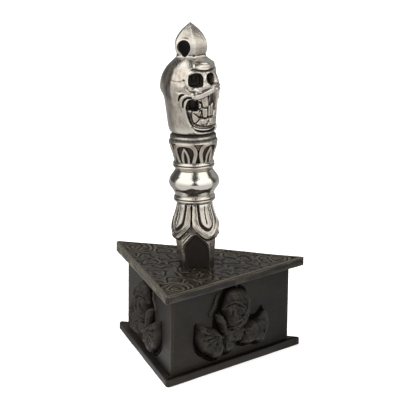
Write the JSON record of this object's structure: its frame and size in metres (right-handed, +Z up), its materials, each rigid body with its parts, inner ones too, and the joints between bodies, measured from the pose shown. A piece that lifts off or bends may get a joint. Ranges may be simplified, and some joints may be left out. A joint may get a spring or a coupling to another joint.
{
  "type": "phurba",
  "caption": "Ritual dagger of silver-coloured metal with a skull head and a lotus handle, standing point down in a carved triangular wooden stand.",
  "frame": {"origin": "middle of the stand's foot, on the table", "axes": "+Z up; -Y towards the stand's nearest corner; the dagger's axis leans two degrees from +Z towards -X"},
  "size_m": [0.1002, 0.0905, 0.1711],
  "materials": {
    "metal": "cast white metal, polished on the high places, dark brown patina in the hollows",
    "blade_metal": "cast white metal, ground, with a darker patina",
    "iron": "plain iron",
    "wood": "ebonised hardwood, satin",
    "carved_wood": "ebonised carved hardwood, dusty brown on the worn edges",
    "inner_wood": "bare wood"
  },
  "bodies": {
    "stand": {"base_plate": "wood", "wall_left": "wood", "wall_right": "wood", "wall_back": "wood", "relief_left": "carved_wood", "relief_right": "carved_wood", "relief_back": "carved_wood", "glue_blocks": "inner_wood", "base_pins": "iron", "tip_block": "inner_wood", "top_plate": "carved_wood"},
    "dagger": {"blade": "blade_metal", "tang": "iron", "lower_lotus": "metal", "lower_ring": "metal", "knob": "metal", "upper_ring": "metal", "upper_lotus": "metal", "collar": "metal", "head": "metal", "finial": "metal"}
  },
  "joints": [
    {"name": "dagger_lift", "type": "slide", "parent": "stand", "child": "dagger", "axis": [-0.0334, -0.0083, 0.9994], "range_m": [0, 0.045]}
  ]
}
